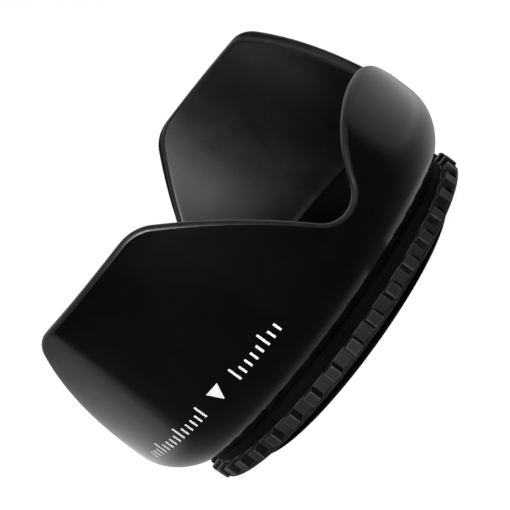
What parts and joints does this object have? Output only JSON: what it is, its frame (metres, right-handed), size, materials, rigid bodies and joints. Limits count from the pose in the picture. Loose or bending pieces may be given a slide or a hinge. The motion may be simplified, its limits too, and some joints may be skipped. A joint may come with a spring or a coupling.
{
  "type": "lens hood",
  "caption": "Petal lens hood with a screw-in threaded sleeve, a keyed slip washer and a toothed lock ring that clamps the hood at any angle.",
  "frame": {"origin": "centre of the thread's free end, on the lens axis", "axes": "+Z along the lens axis from the thread towards the petals, +X through the middle of a long petal, +Y through the middle of a short petal"},
  "size_m": [0.074, 0.074, 0.0419],
  "materials": {
    "hood_plastic": "satin moulded ABS, black",
    "sleeve_plastic": "matte moulded ABS, black",
    "washer_plastic": "smooth matte plastic, black",
    "ring_plastic": "matte moulded ABS with grip teeth, dark grey black"
  },
  "bodies": {
    "sleeve": {"thread_sleeve": "sleeve_plastic"},
    "hood": {"petal_shell": "hood_plastic"},
    "washer": {"slip_washer": "washer_plastic"},
    "ring": {"lock_ring": "ring_plastic"}
  },
  "joints": [
    {"name": "hood_turn", "type": "hinge", "parent": "sleeve", "child": "hood", "pos_m": [0, 0, 0.0088], "axis": [0, 0, 1], "continuous": true},
    {"name": "lock_advance", "type": "slide", "parent": "sleeve", "child": "washer", "axis": [0, 0, -1], "range_m": [0, 0.00075]},
    {"name": "lock_turn", "type": "hinge", "parent": "washer", "child": "ring", "pos_m": [0, 0, 0.0037], "axis": [0, 0, -1], "range_deg": [0, 360]}
  ],
  "couplings": [
    {"joint": "lock_advance", "follows": "lock_turn", "m_per_rad": 0.00011936}
  ]
}
